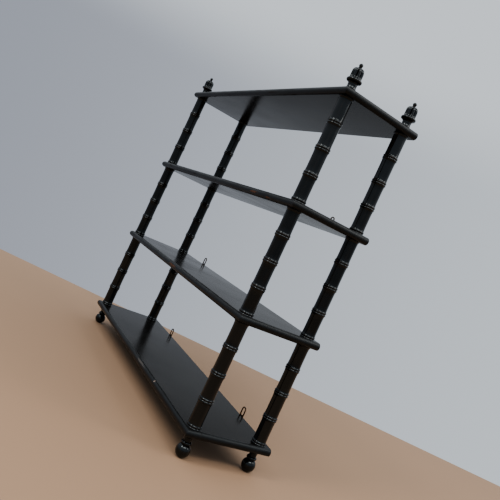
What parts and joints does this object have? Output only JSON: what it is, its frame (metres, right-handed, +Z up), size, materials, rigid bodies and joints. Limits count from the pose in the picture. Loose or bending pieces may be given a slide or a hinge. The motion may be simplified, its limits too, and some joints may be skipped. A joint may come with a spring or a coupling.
{
  "type": "hanging wall shelf",
  "caption": "Tiered hanging wall shelf with bamboo-turned posts, ball feet, acorn finials and hanging eyes, in black lacquered wood.",
  "frame": {"origin": "on the floor under the middle of the shelf's bounding box", "axes": "+X along the boards to the right, +Y from the front towards the wall, +Z up"},
  "size_m": [0.7, 0.176, 0.7147],
  "materials": {
    "board_lacquer": "ebonised satin-gloss lacquer",
    "turned_lacquer": "ebonised satin-gloss lacquer",
    "hanger_brass": "aged dark brass",
    "screw_steel": "dulled steel"
  },
  "bodies": {
    "root": {"bottom_shelf": "board_lacquer", "bottom_hangers": "hanger_brass", "lower_shelf": "board_lacquer", "lower_hangers": "hanger_brass", "upper_shelf": "board_lacquer", "upper_hangers": "hanger_brass", "top_shelf": "board_lacquer", "top_hangers": "hanger_brass", "lower_front_left_post": "turned_lacquer", "lower_front_right_post": "turned_lacquer", "lower_back_left_post": "turned_lacquer", "lower_back_right_post": "turned_lacquer", "middle_front_left_post": "turned_lacquer", "middle_front_right_post": "turned_lacquer", "middle_back_left_post": "turned_lacquer", "middle_back_right_post": "turned_lacquer", "upper_front_left_post": "turned_lacquer", "upper_front_right_post": "turned_lacquer", "upper_back_left_post": "turned_lacquer", "upper_back_right_post": "turned_lacquer", "front_feet": "turned_lacquer", "front_finials": "turned_lacquer", "back_feet": "turned_lacquer", "back_finials": "turned_lacquer", "hanger_screws": "screw_steel"}
  },
  "joints": []
}
